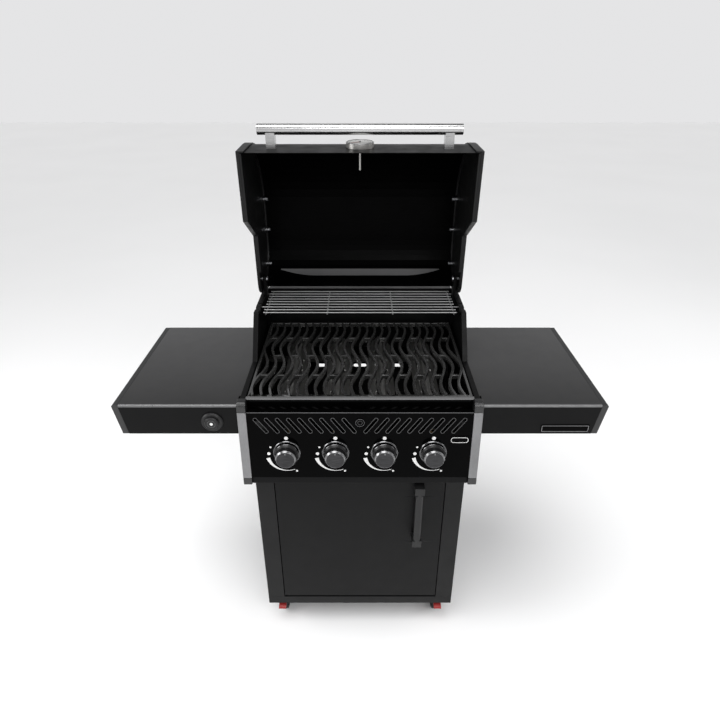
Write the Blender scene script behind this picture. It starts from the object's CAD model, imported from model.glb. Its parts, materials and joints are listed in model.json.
# Gas barbecue grill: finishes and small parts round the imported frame.
import json
import math

import bmesh
import bpy
from mathutils import Matrix, Vector


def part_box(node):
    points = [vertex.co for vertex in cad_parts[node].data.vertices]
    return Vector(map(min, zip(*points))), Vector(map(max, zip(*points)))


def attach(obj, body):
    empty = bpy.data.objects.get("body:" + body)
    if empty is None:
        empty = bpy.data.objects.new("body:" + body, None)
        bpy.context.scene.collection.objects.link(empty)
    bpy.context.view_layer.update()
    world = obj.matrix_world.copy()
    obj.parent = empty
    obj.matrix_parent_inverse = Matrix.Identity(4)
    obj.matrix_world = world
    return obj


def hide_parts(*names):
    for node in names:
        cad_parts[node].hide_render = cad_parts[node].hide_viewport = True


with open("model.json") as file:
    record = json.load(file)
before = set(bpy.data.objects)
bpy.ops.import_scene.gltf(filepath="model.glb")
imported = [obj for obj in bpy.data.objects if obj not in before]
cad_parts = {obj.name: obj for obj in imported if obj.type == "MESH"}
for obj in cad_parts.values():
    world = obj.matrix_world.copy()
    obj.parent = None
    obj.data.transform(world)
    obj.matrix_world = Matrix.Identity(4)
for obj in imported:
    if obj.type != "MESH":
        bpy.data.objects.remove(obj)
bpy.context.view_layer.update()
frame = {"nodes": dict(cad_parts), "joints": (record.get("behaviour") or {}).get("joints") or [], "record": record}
nodes = frame["nodes"]
joints = {j["name"]: j for j in frame["joints"]}
mm = 0.001


# Camera, floor and light

cameraSet = {"place": (0, -1.4647, 1.73), "pitch": 27.18, "lens": 27.27, "shiftY": -0.0417}
lightSet = {
    "frontTop": {"place": (1.0, -2.6, 3.1), "size": (3.2, 0.7), "aim": (0, 0, 0.8), "watts": 46},
    "sideLeft": {"place": (-2.6, -0.5, 1.8), "size": (1.6, 1.0), "aim": (0, 0, 0.9), "watts": 34},
    "sideRight": {"place": (3.2, 0.3, 1.9), "size": (1.6, 1.4), "aim": (0, 0, 0.9), "watts": 20},
}
sunSet = {"tilt": (12, -10), "strength": 1.7, "angle": 40}
skySet = {"horizon": (0.92, 0.92, 0.93, 1), "overhead": (0.16, 0.16, 0.165, 1), "strength": 0.85}


def makeCamera():
    data = bpy.data.cameras.new("studioCamera")
    data.lens = cameraSet["lens"]
    data.sensor_width = 36
    data.shift_y = cameraSet["shiftY"]
    cam = bpy.data.objects.new("studioCamera", data)
    cam.location = cameraSet["place"]
    cam.rotation_euler = (math.radians(90 - cameraSet["pitch"]), 0, 0)
    bpy.context.scene.collection.objects.link(cam)
    bpy.context.scene.camera = cam


def makeLights():
    for name, spec in lightSet.items():
        data = bpy.data.lights.new(name, "AREA")
        data.shape = "RECTANGLE"
        data.size, data.size_y = spec["size"]
        data.energy = spec["watts"]
        lamp = bpy.data.objects.new(name, data)
        lamp.location = spec["place"]
        aim = Vector(spec["aim"]) - lamp.location
        lamp.rotation_euler = aim.to_track_quat("-Z", "Y").to_euler()
        bpy.context.scene.collection.objects.link(lamp)
    data = bpy.data.lights.new("overhead", "SUN")
    data.energy = sunSet["strength"]
    data.angle = math.radians(sunSet["angle"])
    lamp = bpy.data.objects.new("overhead", data)
    lamp.rotation_euler = (math.radians(sunSet["tilt"][0]), math.radians(sunSet["tilt"][1]), 0)
    bpy.context.scene.collection.objects.link(lamp)


def makeWorld():
    world = bpy.data.worlds.new("studio")
    world.use_nodes = True
    tree = world.node_tree
    back = tree.nodes["Background"]
    split = tree.nodes.new("ShaderNodeSeparateXYZ")
    tree.links.new(tree.nodes.new("ShaderNodeTexCoord").outputs["Generated"], split.inputs[0])
    climb = spread(tree, split.outputs["Z"], 0.12, 0.75)
    tree.links.new(mixColour(tree, climb, skySet["horizon"], skySet["overhead"]),
                   back.inputs["Color"])
    back.inputs["Strength"].default_value = skySet["strength"]
    bpy.context.scene.world = world
    bpy.context.scene.view_settings.view_transform = "Standard"


# Shader helpers

def newGroup(name, inputs, outputs):
    group = bpy.data.node_groups.new(name, "ShaderNodeTree")
    for label, kind, value in inputs:
        socket = group.interface.new_socket(label, in_out="INPUT", socket_type=kind)
        if value is not None:
            socket.default_value = value
    for label, kind in outputs:
        group.interface.new_socket(label, in_out="OUTPUT", socket_type=kind)
    return group, group.nodes.new("NodeGroupInput"), group.nodes.new("NodeGroupOutput")


def addNode(tree, kind, values=None, **settings):
    node = tree.nodes.new(kind)
    for key, value in settings.items():
        setattr(node, key, value)
    for key, value in (values or {}).items():
        node.inputs[key].default_value = value
    return node


def mathNode(tree, operation, first, second):
    node = tree.nodes.new("ShaderNodeMath")
    node.operation = operation
    for slot, value in zip(node.inputs, (first, second)):
        if isinstance(value, (int, float)):
            slot.default_value = value
        else:
            tree.links.new(value, slot)
    return node.outputs[0]


def mixColour(tree, factor, first, second, blend="MIX"):
    node = tree.nodes.new("ShaderNodeMix")
    node.data_type = "RGBA"
    node.blend_type = blend
    pairs = zip((node.inputs[0], node.inputs[6], node.inputs[7]), (factor, first, second))
    for slot, value in pairs:
        if hasattr(value, "is_linked"):
            tree.links.new(value, slot)
        else:
            slot.default_value = value
    return node.outputs[2]


def noise(tree, place, scale, detail=2.0, roughness=0.5):
    node = addNode(tree, "ShaderNodeTexNoise",
                   {"Scale": scale, "Detail": detail, "Roughness": roughness})
    tree.links.new(place, node.inputs["Vector"])
    return node.outputs["Fac"]


def spread(tree, value, low, high, toLow=0.0, toHigh=1.0):
    node = addNode(tree, "ShaderNodeMapRange", {1: low, 2: high, 3: toLow, 4: toHigh})
    tree.links.new(value, node.inputs[0])
    return node.outputs[0]


# Fine pebbled coat: colour drift, a roughness that wanders and a height for the bump
def coatGroup():
    group, start, end = newGroup(
        "coatGrain",
        [("Place", "NodeSocketVector", None), ("Colour", "NodeSocketColor", (0.1, 0.1, 0.1, 1)),
         ("Drift", "NodeSocketFloat", 0.3), ("Grain", "NodeSocketFloat", 900.0),
         ("Rough", "NodeSocketFloat", 0.5)],
        [("Colour", "NodeSocketColor"), ("Roughness", "NodeSocketFloat"),
         ("Height", "NodeSocketFloat")])
    link = group.links.new
    place = start.outputs["Place"]
    fine = addNode(group, "ShaderNodeTexNoise", {"Detail": 3.0})
    link(place, fine.inputs["Vector"])
    link(start.outputs["Grain"], fine.inputs["Scale"])
    broad = noise(group, place, 7.0, 3.0)
    swing = spread(group, broad, 0.3, 0.7, -1, 1)
    shade = mathNode(group, "MULTIPLY", swing, start.outputs["Drift"])
    shade = mathNode(group, "ADD", shade, 1.0)
    speck = spread(group, fine.outputs["Fac"], 0.3, 0.75, 0.86, 1.14)
    tone = mathNode(group, "MULTIPLY", shade, speck)
    scaled = addNode(group, "ShaderNodeVectorMath", operation="SCALE")
    link(start.outputs["Colour"], scaled.inputs[0])
    link(tone, scaled.inputs["Scale"])
    link(scaled.outputs[0], end.inputs["Colour"])
    wander = spread(group, noise(group, place, 23.0, 4.0), 0.3, 0.7, -0.05, 0.05)
    link(mathNode(group, "ADD", start.outputs["Rough"], wander), end.inputs["Roughness"])
    link(fine.outputs["Fac"], end.inputs["Height"])
    return group


# Fine parallel scratches along one direction of the given place
def brushGroup():
    group, start, end = newGroup(
        "brushLines",
        [("Place", "NodeSocketVector", None), ("Colour", "NodeSocketColor", (0.5, 0.5, 0.5, 1)),
         ("Stretch", "NodeSocketVector", (1500.0, 20.0, 1500.0)),
         ("Contrast", "NodeSocketFloat", 0.2), ("Rough", "NodeSocketFloat", 0.3)],
        [("Colour", "NodeSocketColor"), ("Roughness", "NodeSocketFloat"),
         ("Height", "NodeSocketFloat")])
    link = group.links.new
    pulled = addNode(group, "ShaderNodeVectorMath", operation="MULTIPLY")
    link(start.outputs["Place"], pulled.inputs[0])
    link(start.outputs["Stretch"], pulled.inputs[1])
    lines = noise(group, pulled.outputs[0], 1.0, 2.0)
    swing = spread(group, lines, 0.3, 0.7, -1, 1)
    broad = spread(group, noise(group, start.outputs["Place"], 9.0, 2.0), 0.3, 0.7, -0.12, 0.12)
    tone = mathNode(group, "MULTIPLY", swing, start.outputs["Contrast"])
    tone = mathNode(group, "ADD", mathNode(group, "ADD", tone, broad), 1.0)
    scaled = addNode(group, "ShaderNodeVectorMath", operation="SCALE")
    link(start.outputs["Colour"], scaled.inputs[0])
    link(tone, scaled.inputs["Scale"])
    link(scaled.outputs[0], end.inputs["Colour"])
    link(mathNode(group, "ADD", start.outputs["Rough"],
                  mathNode(group, "MULTIPLY", swing, 0.06)), end.inputs["Roughness"])
    link(lines, end.inputs["Height"])
    return group


dustColour = (0.42, 0.4, 0.37, 1)


# Thin dust that gathers on upward faces
def dustGroup():
    group, start, end = newGroup(
        "restingDust",
        [("Place", "NodeSocketVector", None), ("Colour", "NodeSocketColor", (0.1, 0.1, 0.1, 1)),
         ("Amount", "NodeSocketFloat", 0.1)],
        [("Colour", "NodeSocketColor"), ("Mask", "NodeSocketFloat")])
    link = group.links.new
    geometry = group.nodes.new("ShaderNodeNewGeometry")
    split = group.nodes.new("ShaderNodeSeparateXYZ")
    link(geometry.outputs["Normal"], split.inputs[0])
    up = spread(group, split.outputs["Z"], 0.35, 1.0)
    patch = spread(group, noise(group, start.outputs["Place"], 31.0, 6.0, 0.6), 0.35, 0.75)
    mask = mathNode(group, "MULTIPLY", up, patch)
    mask = mathNode(group, "MULTIPLY", mask, start.outputs["Amount"])
    link(mask, end.inputs["Mask"])
    link(mixColour(group, mask, start.outputs["Colour"], dustColour), end.inputs["Colour"])
    return group


groups = {"coat": coatGroup(), "brush": brushGroup(), "dust": dustGroup()}


def newMaterial(name, metallic=0.0, specular=0.5, coat=0.0, coatRough=0.1):
    material = bpy.data.materials.new(name)
    material.use_nodes = True
    tree = material.node_tree
    shader = tree.nodes["Principled BSDF"]
    shader.inputs["Metallic"].default_value = metallic
    shader.inputs["Specular IOR Level"].default_value = specular
    shader.inputs["Coat Weight"].default_value = coat
    shader.inputs["Coat Roughness"].default_value = coatRough
    return material, tree, shader, tree.nodes.new("ShaderNodeTexCoord").outputs["Object"]


def placeGroup(tree, name, place, values):
    node = tree.nodes.new("ShaderNodeGroup")
    node.node_tree = groups[name]
    tree.links.new(place, node.inputs["Place"])
    for key, value in values.items():
        if hasattr(value, "is_linked"):
            tree.links.new(value, node.inputs[key])
        else:
            node.inputs[key].default_value = value
    return node


def addBump(tree, shader, height, strength, distance):
    bump = addNode(tree, "ShaderNodeBump", {"Strength": strength, "Distance": distance})
    tree.links.new(height, bump.inputs["Height"])
    tree.links.new(bump.outputs["Normal"], shader.inputs["Normal"])


# Painted, cast or moulded surface
def coated(name, colour, rough, drift=0.12, grain=900.0, bump=0.12, depth=0.0004, dust=0.0,
           fade=None, **kind):
    material, tree, shader, place = newMaterial(name, **kind)
    tone = (*colour, 1)
    if fade is not None:
        split = tree.nodes.new("ShaderNodeSeparateXYZ")
        tree.links.new(place, split.inputs[0])
        tone = mixColour(tree, spread(tree, split.outputs["Y"], -0.28, 0.17), tone, (*fade, 1))
    coat = placeGroup(tree, "coat", place, {"Colour": tone, "Drift": drift, "Grain": grain,
                                            "Rough": rough})
    film = placeGroup(tree, "dust", place, {"Colour": coat.outputs["Colour"], "Amount": dust})
    tree.links.new(film.outputs["Colour"], shader.inputs["Base Color"])
    dulled = mathNode(tree, "ADD", coat.outputs["Roughness"], film.outputs["Mask"])
    tree.links.new(dulled, shader.inputs["Roughness"])
    addBump(tree, shader, coat.outputs["Height"], bump, depth)
    return material


# Bare or plated metal with a brushed direction
def brushed(name, colour, rough, stretch, contrast=0.15, bump=0.08, **kind):
    material, tree, shader, place = newMaterial(name, metallic=1.0, **kind)
    lines = placeGroup(tree, "brush", place, {"Colour": (*colour, 1), "Stretch": stretch,
                                              "Contrast": contrast, "Rough": rough})
    tree.links.new(lines.outputs["Colour"], shader.inputs["Base Color"])
    tree.links.new(lines.outputs["Roughness"], shader.inputs["Roughness"])
    addBump(tree, shader, lines.outputs["Height"], bump, 0.0002)
    return material


finishes = {
    "shelfCoat": coated("shelfCoat", (0.018, 0.018, 0.0184), 0.34, 0.05, 1400, 0.08, dust=0.01,
                        fade=(0.054, 0.054, 0.055), specular=0.5),
    "skirtCoat": coated("skirtCoat", (0.005, 0.005, 0.0052), 0.45, 0.05, 1400, 0.08, specular=0.1),
    "bendCoat": coated("bendCoat", (0.11, 0.11, 0.112), 0.3, 0.02, 60, 0.0, specular=1.0),
    "endMoulding": coated("endMoulding", (0.02, 0.02, 0.0206), 0.4, 0.1, 1800, 0.2, 0.0003),
    "ledgeGrey": coated("ledgeGrey", (0.12, 0.12, 0.122), 0.4, 0.15, 900, 0.2, 0.0004),
    "cabinetCoat": coated("cabinetCoat", (0.006, 0.006, 0.0062), 0.5, 0.1, 1200, 0.1, specular=0.2),
    "doorCoat": coated("doorCoat", (0.0035, 0.0035, 0.0037), 0.42, 0.1, 1200, 0.08, specular=0.14),
    "castPaint": coated("castPaint", (0.003, 0.003, 0.0031), 0.42, 0.18, 420, 0.3, 0.0009,
                        specular=0.12),
    "lidPaint": coated("lidPaint", (0.007, 0.007, 0.0072), 0.45, 0.18, 420, 0.3, 0.0009,
                       specular=0.25),
    "hoodEnamel": coated("hoodEnamel", (0.001, 0.001, 0.00105), 0.35, 0.1, 300, 0.05, 0.0005,
                         specular=0.03),
    "panelEnamel": coated("panelEnamel", (0.001, 0.001, 0.00105), 0.14, 0.05, 60, 0.02, 0.0004,
                          specular=0.035),
    "fireEnamel": coated("fireEnamel", (0.003, 0.003, 0.003), 0.45, 0.3, 500, 0.3, 0.0006,
                         specular=0.14),
    "gridEnamel": coated("gridEnamel", (0.024, 0.024, 0.0236), 0.26, 0.2, 700, 0.25, 0.0005,
                         specular=1.0, coat=1.0, coatRough=0.15),
    "darkMoulding": coated("darkMoulding", (0.009, 0.009, 0.0094), 0.4, 0.1, 1800, 0.2, 0.0003,
                           specular=0.35),
    "capMoulding": coated("capMoulding", (0.01, 0.01, 0.0104), 0.25, 0.1, 1800, 0.15, 0.0003,
                          specular=0.7),
    "rubber": coated("rubber", (0.012, 0.012, 0.012), 0.7, 0.25, 900, 0.4, 0.0005, specular=0.3),
    "hubGrey": coated("hubGrey", (0.1, 0.1, 0.104), 0.45, 0.08, 1500, 0.15, 0.0003),
    "leverRed": coated("leverRed", (0.30, 0.012, 0.01), 0.4, 0.12, 1500, 0.12, 0.0003),
    "whiteInk": coated("whiteInk", (0.85, 0.85, 0.84), 0.5, 0.03, 2500, 0.05, 0.0002),
    "edgeGrey": coated("edgeGrey", (0.085, 0.085, 0.087), 0.3, 0.1, 2500, 0.05, 0.0002,
                       specular=0.8),
    "footGrey": coated("footGrey", (0.14, 0.14, 0.142), 0.4, 0.12, 900, 0.1, 0.0003),
    "dialFace": coated("dialFace", (0.62, 0.62, 0.6), 0.4, 0.05, 2500, 0.05, 0.0002),
    "trimSilver": brushed("trimSilver", (0.25, 0.25, 0.255), 0.36, (1600, 1600, 16), 0.10, 0.05),
    "stainless": brushed("stainless", (0.5, 0.49, 0.47), 0.34, (12, 1400, 1400), 0.16),
    "barSteel": brushed("barSteel", (0.6, 0.6, 0.6), 0.26, (12, 1500, 1500), 0.12),
    "plateSteel": brushed("plateSteel", (0.4, 0.395, 0.385), 0.5, (700, 5, 700), 0.3, 0.15),
    "zinc": brushed("zinc", (0.5, 0.51, 0.53), 0.35, (300, 300, 300), 0.12, 0.1),
    "wireChrome": brushed("wireChrome", (0.36, 0.36, 0.36), 0.5, (30, 300, 300), 0.04, 0.02),
    "bezelChrome": brushed("bezelChrome", (0.16, 0.16, 0.163), 0.22, (500, 500, 500), 0.05, 0.02),
    "knobSatin": brushed("knobSatin", (0.055, 0.055, 0.057), 0.36, (60, 900, 900), 0.3, 0.1),
    "knobRing": brushed("knobRing", (0.24, 0.24, 0.244), 0.26, (500, 500, 500), 0.06, 0.02),
    "brass": brushed("brass", (0.42, 0.29, 0.13), 0.35, (900, 900, 60), 0.1, 0.06),
    "foil": brushed("foil", (0.75, 0.75, 0.76), 0.3, (160, 160, 160), 0.15, 0.4),
}
print("finishes", len(finishes))


# Mesh helpers

def newPiece(name, bm, finish, body, smooth=30, place=None, paint=None):
    if place is not None:
        bmesh.ops.transform(bm, matrix=place, verts=bm.verts)
    if paint is not None:
        paintWhere(bm, paint)
    mesh = bpy.data.meshes.new(name)
    bm.to_mesh(mesh)
    bm.free()
    mesh.shade_smooth()
    mesh.set_sharp_from_angle(angle=math.radians(smooth))
    piece = bpy.data.objects.new(name, mesh)
    bpy.context.scene.collection.objects.link(piece)
    for each in (finish if isinstance(finish, list) else [finish]):
        mesh.materials.append(finishes[each])
    level = piece.modifiers.new("evenNormals", "WEIGHTED_NORMAL")
    level.keep_sharp = True
    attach(piece, body)
    return piece


def paintWhere(bm, tests):
    bm.normal_update()
    for index, test in enumerate(tests):
        for face in bm.faces:
            if test(face.calc_center_median(), face.normal):
                face.material_index = index + 1


def bodyOf(node):
    bodies = frame["record"]["behaviour"]["bodies"]
    return next(body for body, members in bodies.items() if node in members)


mergeGap = 0.02 * mm
flatAngle = math.radians(0.6)


# The CAD node's shape with its edges rounded over
def eased(node, finish, radius=0.8, segments=2, angle=25, plain=True, paint=None):
    bm = bmesh.new()
    bm.from_mesh(nodes[node].data)
    bmesh.ops.remove_doubles(bm, verts=bm.verts, dist=mergeGap)
    if plain:
        bmesh.ops.dissolve_limit(bm, angle_limit=flatAngle, verts=bm.verts, edges=bm.edges)
    sharp = [e for e in bm.edges
             if len(e.link_faces) == 2 and e.calc_face_angle() > math.radians(angle)]
    bmesh.ops.bevel(bm, geom=sharp, offset=radius * mm, offset_type="OFFSET", segments=segments,
                    profile=0.5, affect="EDGES", clamp_overlap=False, material=-1)
    name = "".join(w.capitalize() if i else w for i, w in enumerate(node.split("_")))
    piece = newPiece(name, bm, finish, bodyOf(node), paint=paint)
    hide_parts(node)
    return piece


easedNodes = {
    "base_pan": ("cabinetCoat", 0.8), "side_panels": ("cabinetCoat", 0.6),
    "back_panel": ("cabinetCoat", 0.4), "front_rails": ("cabinetCoat", 0.4),
    "door": ("doorCoat", 0.6), "door_handle": ("darkMoulding", 1.5),
    "firebox_left": ("castPaint", 1.2), "firebox_right": ("castPaint", 1.2),
    "cooking_grids": ("gridEnamel", 1.6), "control_panel": ("panelEnamel", 0.5),
    "panel_lip": ("skirtCoat", 2.0), "panel_trims": ("trimSilver", 1.6),
    "trim_caps": ("capMoulding", 1.8), "shelf_end_caps": ("endMoulding", 1.5),
    "shelf_brackets": ("cabinetCoat", 0.5), "grease_tray": ("zinc", 0.4), "drip_pan": ("foil", 0.3),
    "knob_bezels": ("bezelChrome", 0.6), "blank_badges": ("panelEnamel", 0.4),
    "brake_lever_left": ("leverRed", 0.8), "brake_lever_right": ("leverRed", 0.8),
}
for node, (finish, radius) in easedNodes.items():
    eased(node, finish, radius)

# Heights and depths, in metres, at which a node changes from one finish to the next
paintLimits = {"hub": 0.0295, "rearTop": 1.0195, "frontFace": 0.85, "frontTop": 0.9035,
               "skirt": -0.28, "bend": -0.2755, "bendLow": 0.893}
corners = ("front_left", "front_right", "rear_left", "rear_right")
for corner in corners:
    lo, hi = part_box("wheel_" + corner)
    axle = (Vector(lo) + Vector(hi)) / 2
    eased("wheel_" + corner, ["rubber", "hubGrey"], 1.0, 2, 20,
          paint=[lambda c, n, a=axle: math.hypot(c.y - a.y, c.z - a.z) < paintLimits["hub"]])
eased("firebox_rear", ["fireEnamel", "ledgeGrey"], 0.5,
      paint=[lambda c, n: c.z > paintLimits["rearTop"]])
eased("firebox_front", ["fireEnamel", "panelEnamel", "ledgeGrey"], 0.5,
      paint=[lambda c, n: n.y < -0.3 and c.z > paintLimits["frontFace"],
             lambda c, n: c.z > paintLimits["frontTop"]])
for node in ("shelf_left", "shelf_right"):
    eased(node, ["shelfCoat", "skirtCoat", "bendCoat"], 0.4,
          paint=[lambda c, n: n.y < -0.85 and c.y < paintLimits["skirt"],
                 lambda c, n: (c.y < paintLimits["bend"] and c.z > paintLimits["bendLow"]
                               and n.z > 0.05)])
for node in ("lid_left", "lid_right"):
    eased(node, "lidPaint", 1.0, plain=False)

plainNodes = {
    "door_fittings": "zinc", "firebox_floor": "fireEnamel", "burner_tubes": "stainless",
    "burner_rail": "stainless", "sear_plates": "plateSteel", "warming_rack": "wireChrome",
    "valve_bodies": "brass", "gas_manifold": "zinc", "gas_inlet": "brass",
    "igniter_body": "darkMoulding",
    "tray_rails": "zinc", "caster_plates": "zinc", "lid_hood": "hoodEnamel", "lid_bolts": "zinc",
    "lid_handle": "barSteel", "thermometer": "stainless", "igniter_button": "darkMoulding",
}
for i in range(1, 5):
    plainNodes[f"valve_plug_{i}"] = "brass"
for corner in corners:
    plainNodes["fork_" + corner] = "zinc"
for node, finish in plainNodes.items():
    nodes[node].data.materials.clear()
    nodes[node].data.materials.append(finishes[finish])
print("frame finished", len(easedNodes), "eased", len(plainNodes), "plain")


# Control panel

lean = math.radians(4)
panelSpot = Vector((0, -0.284, 0.879))
knobSet = {"pitch": 133, "drop": 127, "stand": 36, "radius": 28, "skirt": 32.5, "skirtZ": 7,
           "chamfer": 3.5, "stem": 4}


# Place on the leaning panel: x across, y up the face, z outward, in millimetres
def onPanel(x=0.0, y=0.0, z=0.0):
    turn = Matrix(((1, 0, 0), (0, math.sin(lean), -math.cos(lean)),
                   (0, math.cos(lean), math.sin(lean)))).to_4x4()
    return (Matrix.Translation(panelSpot) @ turn @ Matrix.Scale(mm, 4)
            @ Matrix.Translation((x, y, z)))


# Turned shape from (radius, height) points, about the local z axis
def lathe(points, steps=64):
    bm = bmesh.new()
    verts = [bm.verts.new((r, 0, z)) for r, z in points]
    edges = [bm.edges.new(pair) for pair in zip(verts, verts[1:])]
    bmesh.ops.spin(bm, geom=verts + edges, axis=(0, 0, 1), cent=(0, 0, 0), steps=steps,
                   angle=math.tau, use_merge=True)
    bmesh.ops.remove_doubles(bm, verts=bm.verts, dist=0.01)
    bmesh.ops.recalc_face_normals(bm, faces=bm.faces)
    return bm


def disc(radius, thick, steps=40):
    return lathe([(0, 0), (radius, 0), (radius, thick * 0.6), (radius - thick * 0.4, thick),
                  (0, thick)], steps)


def ring(radius, minor, steps=48):
    bm = bmesh.new()
    bmesh.ops.create_circle(bm, segments=12, radius=minor)
    upright = Matrix.Translation((radius, 0, 0)) @ Matrix.Rotation(math.pi / 2, 4, "X")
    bmesh.ops.transform(bm, matrix=upright, verts=bm.verts)
    bmesh.ops.spin(bm, geom=bm.verts[:] + bm.edges[:], axis=(0, 0, 1), cent=(0, 0, 0),
                   steps=steps, angle=math.tau, use_merge=True)
    bmesh.ops.recalc_face_normals(bm, faces=bm.faces)
    return bm


# Raised line round a stadium or rounded rectangle: outer length, outer width, corner radius
def outline(length, width, corner, line, high):
    bm = bmesh.new()
    bmesh.ops.create_circle(bm, cap_ends=True, segments=32, radius=corner)
    still = 1e-6
    for vert in bm.verts:
        if abs(vert.co.x) > still:
            vert.co.x += math.copysign(length / 2 - corner, vert.co.x)
        if abs(vert.co.y) > still:
            vert.co.y += math.copysign(width / 2 - corner, vert.co.y)
    inner = bm.faces[:]
    bmesh.ops.inset_region(bm, faces=inner, thickness=line, use_even_offset=True,
                           use_boundary=True)
    bmesh.ops.delete(bm, geom=inner, context="FACES_ONLY")
    bmesh.ops.solidify(bm, geom=bm.faces[:], thickness=high)
    bmesh.ops.recalc_face_normals(bm, faces=bm.faces)
    return bm


def makeKnob(i):
    k = knobSet
    x = (i - 2.5) * k["pitch"]
    top, r = k["stand"], k["radius"]
    z0 = k["skirtZ"]
    bm = lathe([(0, -36), (k["stem"], -36), (k["stem"], z0), (k["skirt"] - 0.6, z0),
                (k["skirt"], z0 + 0.6), (k["skirt"], z0 + 2.4), (k["skirt"] - 0.6, z0 + 3.2),
                (r + 0.8, z0 + 7.6), (r, z0 + 9), (r, top - 4.2), (r - 0.4, top - 3.6),
                (r - k["chamfer"], top - 0.1), (r - k["chamfer"] - 0.5, top),
                (r - k["chamfer"] - 0.9, top - 0.4), (0, top - 0.4)], 72)
    rim = r - k["chamfer"] - 0.6
    paintWhere(bm, [lambda c, n: c.z > top - 0.6 and math.hypot(c.x, c.y) < rim,
                    lambda c, n: c.z > top - 4.1 and math.hypot(c.x, c.y) > rim,
                    lambda c, n: z0 + 2.4 < c.z < z0 + 3.3 and math.hypot(c.x, c.y) > r])
    knob = newPiece(f"knobTurned_{i}", bm, ["darkMoulding", "knobSatin", "knobRing", "bezelChrome"],
                    f"knob_{i}", 20, onPanel(x, -k["drop"]))
    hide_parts(f"knob_{i}")
    mark = bmesh.new()
    bmesh.ops.create_cube(mark, size=1)
    bmesh.ops.transform(mark, matrix=Matrix.Diagonal((2.2, 5, 0.8, 1)), verts=mark.verts)
    newPiece(f"knobMark_{i}", mark, "knobRing", f"knob_{i}", 30,
             onPanel(x, -k["drop"] + r - k["chamfer"] - 5.5, top - 0.45))


knobCount = 4
for i in range(1, knobCount + 1):
    makeKnob(i)

markSet = {"dotUp": (0, 46, 5.2), "dotSmall": (-44, 17, 2.8), "dotLeft": (-49.5, -4, 4.6),
           "dotEnd": (25, -61, 3.0), "arcCentre": (0, -6), "arcRadius": 53.5, "wide": 10.5,
           "thin": 1.5, "from": 193, "to": 292}


# Printed sweep that narrows from its wide start to a thin tail
def sweepMark():
    m = markSet
    bm = bmesh.new()
    bmesh.ops.create_grid(bm, x_segments=40, y_segments=1, size=0.5)
    for vert in bm.verts:
        along = vert.co.x + 0.5
        angle = math.radians(m["from"] + (m["to"] - m["from"]) * along)
        half = m["thin"] + (m["wide"] - m["thin"]) * max(0.0, 1 - along * 1.25) ** 1.3
        radius = m["arcRadius"] + vert.co.y * half
        vert.co = (m["arcCentre"][0] + radius * math.cos(angle),
                   m["arcCentre"][1] + radius * math.sin(angle), 0)
    bmesh.ops.solidify(bm, geom=bm.faces[:], thickness=0.25)
    bmesh.ops.recalc_face_normals(bm, faces=bm.faces)
    return bm


def printMarks(i):
    x = (i - 2.5) * knobSet["pitch"]
    y = -knobSet["drop"]
    for name in ("dotUp", "dotSmall", "dotLeft", "dotEnd"):
        dx, dy, r = markSet[name]
        newPiece(f"panelDot_{name}_{i}", disc(r, 0.25, 28), "whiteInk", "frame", 30,
                 onPanel(x + dx, y + dy, 0.02))
    newPiece(f"panelSweep_{i}", sweepMark(), "whiteInk", "frame", 30, onPanel(x, y, 0.27))


for i in range(1, knobCount + 1):
    printMarks(i)

ventSet = {"count": 9, "first": 29, "step": 29.5, "y": -41, "length": 58, "width": 11,
           "line": 1.0, "high": 0.5, "turn": 53}


# Pressed edge round every slot of the panel
def ventEdges():
    v = ventSet
    for side, tag in ((-1, "left"), (1, "right")):
        tilt = Matrix.Rotation(math.radians(side * v["turn"]), 4, "Z")
        for i in range(v["count"]):
            edge = outline(v["length"], v["width"], v["width"] / 2 - 0.01, v["line"], v["high"])
            place = onPanel(side * (v["first"] + v["step"] * i), v["y"], 0.5) @ tilt
            newPiece(f"ventEdge_{tag}_{i + 1}", edge, "edgeGrey", "frame", 40, place)


ventEdges()


# Turns a face-on drawing to look towards the front, in millimetres from the given place
def facingFront(place):
    return (Matrix.Translation(place) @ Matrix.Rotation(math.pi / 2, 4, "X")
            @ Matrix.Scale(mm, 4))


# outline: length, width, corner radius, line width, height
badgeSet = {"emblem": (0, -31, 2.5), "outerRing": (11.6, 0.5), "innerRing": (6.0, 0.45),
            "panel": (269, -86, 1.8), "panelOutline": (47, 17, 8, 1.3, 0.3),
            "shelf": (0.55, -0.284, 0.826), "shelfOutline": (126, 20, 3, 1.6, 0.3)}
emblem = onPanel(*badgeSet["emblem"])
newPiece("emblemRingOuter", ring(*badgeSet["outerRing"]), "edgeGrey", "frame", 40, emblem)
newPiece("emblemRingInner", ring(*badgeSet["innerRing"]), "edgeGrey", "frame", 40, emblem)
newPiece("panelBadgeLine", outline(*badgeSet["panelOutline"]), "whiteInk", "frame", 30,
         onPanel(*badgeSet["panel"]))
newPiece("shelfBadgeLine", outline(*badgeSet["shelfOutline"]), "knobRing", "frame", 30,
         facingFront(badgeSet["shelf"]) @ Matrix.Translation((0, 0, 0.3)))

topLineSet = {"size": (601, 1.8, 1.2), "place": (0, -0.9, 0.3), "round": 0.4}
topLine = bmesh.new()
bmesh.ops.create_cube(topLine, size=1)
bmesh.ops.transform(topLine, matrix=Matrix.Diagonal((*topLineSet["size"], 1)),
                    verts=topLine.verts)
bmesh.ops.bevel(topLine, geom=topLine.edges[:], offset=topLineSet["round"], segments=2,
                profile=0.5, affect="EDGES", material=-1)
newPiece("panelTopLine", topLine, "edgeGrey", "frame", 30, onPanel(*topLineSet["place"]))
print("control panel done")


# Igniter, lid and small fixings

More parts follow.
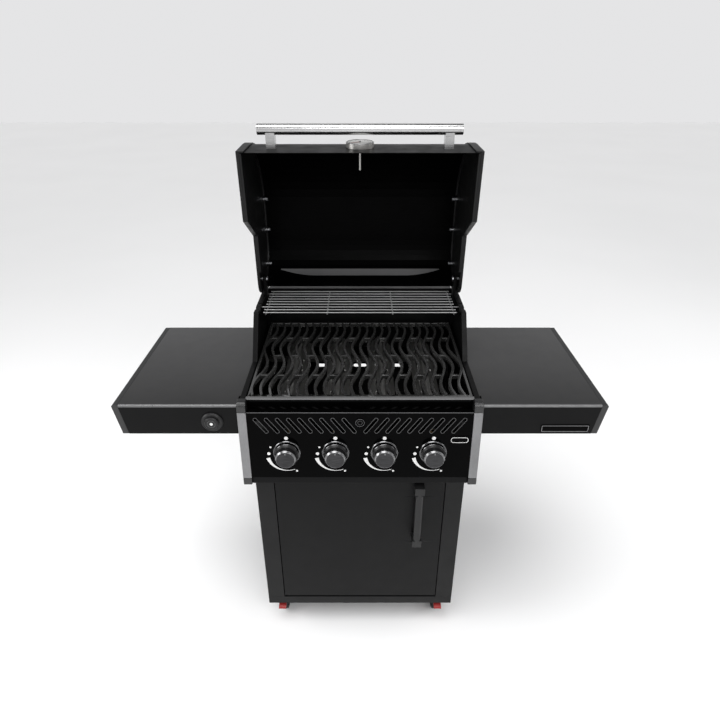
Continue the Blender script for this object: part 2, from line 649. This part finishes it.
igniterSet = {"place": (-0.394, -0.282, 0.848), "dot": (4.2, 0.4, 28), "dotOut": 11.9,
              "ring": (10.5, 0.55), "ringOut": 12.0}
igniterFace = facingFront(igniterSet["place"])
newPiece("igniterDot", disc(*igniterSet["dot"]), "whiteInk", "igniter_button", 30,
         igniterFace @ Matrix.Translation((0, 0, igniterSet["dotOut"])))
newPiece("igniterRing", ring(*igniterSet["ring"]), "edgeGrey", "igniter_button", 40,
         igniterFace @ Matrix.Translation((0, 0, igniterSet["ringOut"])))

# Lid pieces are drawn for the closed lid and turned up with it
hinge = Vector(joints["lid_hinge"]["pos_m"])
lidOpen = (Matrix.Translation(hinge) @ Matrix.Rotation(math.radians(-88), 4, "X")
           @ Matrix.Translation(-hinge))
dialSet = {"place": (0, -0.257, 0.995), "radius": 33.5, "front": 12, "strokes": 11,
           "firstStroke": -135, "strokeStep": 27, "stroke": (1.2, 7, 0.3), "needleTurn": 118}
dialFrame = lidOpen @ facingFront(dialSet["place"])


# Dial face, a scale of plain strokes and a needle
def makeDial():
    front, r = dialSet["front"], dialSet["radius"]
    newPiece("dialDisc", disc(r, 0.4, 56), "dialFace", "lid", 30,
             dialFrame @ Matrix.Translation((0, 0, front)))
    newPiece("dialRim", ring(r + 1.6, 1.4, 64), "knobRing", "lid", 40,
             dialFrame @ Matrix.Translation((0, 0, front + 0.2)))
    for i in range(dialSet["strokes"]):
        angle = math.radians(dialSet["firstStroke"] + dialSet["strokeStep"] * i)
        stroke = bmesh.new()
        bmesh.ops.create_cube(stroke, size=1)
        bmesh.ops.transform(stroke, matrix=Matrix.Rotation(angle, 4, "Z")
                            @ Matrix.Translation((0, r - 6, 0))
                            @ Matrix.Diagonal((*dialSet["stroke"], 1)), verts=stroke.verts)
        newPiece(f"dialStroke_{i + 1}", stroke, "darkMoulding", "lid", 30,
                 dialFrame @ Matrix.Translation((0, 0, front + 0.5)))
    needle = bmesh.new()
    bmesh.ops.create_cone(needle, cap_ends=True, segments=16, radius1=1.6, radius2=0.5,
                          depth=r - 6)
    bmesh.ops.transform(needle, matrix=Matrix.Rotation(math.radians(dialSet["needleTurn"]), 4, "Z")
                        @ Matrix.Diagonal((1, 1, 0.35, 1)) @ Matrix.Rotation(-math.pi / 2, 4, "X")
                        @ Matrix.Translation((0, 0, (r - 6) / 2)), verts=needle.verts)
    newPiece("dialNeedle", needle, "leverRed", "lid", 30,
             dialFrame @ Matrix.Translation((0, 0, front + 1.0)))
    newPiece("dialBoss", disc(3.4, 1.6, 24), "darkMoulding", "lid", 30,
             dialFrame @ Matrix.Translation((0, 0, front + 0.3)))


makeDial()

stripSet = {"centre": (0.097, 1.135), "radius": 107.8, "half": 270, "from": 22, "to": 37,
            "taper": 120, "thick": 0.4}


# Bright strip in the curve at the hood's rear foot, its ends drawn out to points
def footStrip():
    t = stripSet
    bm = bmesh.new()
    bmesh.ops.create_grid(bm, x_segments=60, y_segments=8, size=0.5)
    for vert in bm.verts:
        x = vert.co.x * 2 * t["half"]
        ends = math.sin(min(1.0, (t["half"] - abs(x)) / t["taper"]) * math.pi / 2)
        low = t["to"] - (t["to"] - t["from"]) * (0.12 + 0.88 * ends)
        angle = math.radians(low + (t["to"] - low) * (vert.co.y + 0.5))
        vert.co = (x * mm, t["centre"][0] + t["radius"] * mm * math.cos(angle),
                   t["centre"][1] + t["radius"] * mm * math.sin(angle))
    bmesh.ops.solidify(bm, geom=bm.faces[:], thickness=t["thick"] * mm)
    bmesh.ops.recalc_face_normals(bm, faces=bm.faces)
    newPiece("hoodFootStrip", bm, "footGrey", "lid", 30, lidOpen)


footStrip()


# Pan-head screw with a cross slot, its axis along the given direction
def screw(name, place, facing, radius=4.2, body="frame", finish="zinc"):
    bm = lathe([(0, 0), (radius, 0), (radius, 0.8), (radius - 1.2, 2.0), (radius - 2.6, 2.3),
                (0, 2.3)], 20)
    turn = Vector(facing).to_track_quat("Z", "Y").to_matrix().to_4x4()
    newPiece(name, bm, finish, body, 30, Matrix.Translation(place) @ turn @ Matrix.Scale(mm, 4))
    for j in range(2):
        bar = bmesh.new()
        bmesh.ops.create_cube(bar, size=1)
        bmesh.ops.transform(bar, matrix=Matrix.Rotation(math.pi / 2 * j, 4, "Z")
                            @ Matrix.Diagonal((radius, 0.8, 0.4, 1)), verts=bar.verts)
        newPiece(f"{name}_slot_{j + 1}", bar, "doorCoat", body, 30,
                 Matrix.Translation(place) @ turn @ Matrix.Scale(mm, 4)
                 @ Matrix.Translation((0, 0, 2.2)))


screwSet = {"backX": 0.236, "backY": 0.18, "backHeights": (0.16, 0.38, 0.585), "sideX": 0.3,
            "sideSpots": ((-0.235, 0.15), (0.15, 0.15), (-0.235, 0.40), (0.15, 0.40))}
for side, tag in ((-1, "left"), (1, "right")):
    for i, z in enumerate(screwSet["backHeights"]):
        screw(f"backScrew_{tag}_{i + 1}", (side * screwSet["backX"], screwSet["backY"], z),
              (0, 1, 0))
    for i, (y, z) in enumerate(screwSet["sideSpots"]):
        screw(f"sideScrew_{tag}_{i + 1}", (side * screwSet["sideX"], y, z), (side, 0, 0))
print("small parts done")


# Floor

floorSet = {"half": 14, "rough": 0.9, "shade": (0.93, 0.95)}


def makeFloor():
    bm = bmesh.new()
    bmesh.ops.create_grid(bm, x_segments=1, y_segments=1, size=floorSet["half"])
    mesh = bpy.data.meshes.new("studioFloor")
    bm.to_mesh(mesh)
    bm.free()
    floor = bpy.data.objects.new("studioFloor", mesh)
    bpy.context.scene.collection.objects.link(floor)
    material, tree, shader, place = newMaterial("paleFloor", specular=0.1)
    shader.inputs["Roughness"].default_value = floorSet["rough"]
    tint = spread(tree, noise(tree, place, 0.8, 2.0), 0.3, 0.7, *floorSet["shade"])
    tree.links.new(tint, shader.inputs["Base Color"])
    mesh.materials.append(material)


makeCamera()
makeLights()
makeWorld()
makeFloor()
print("studio ready")
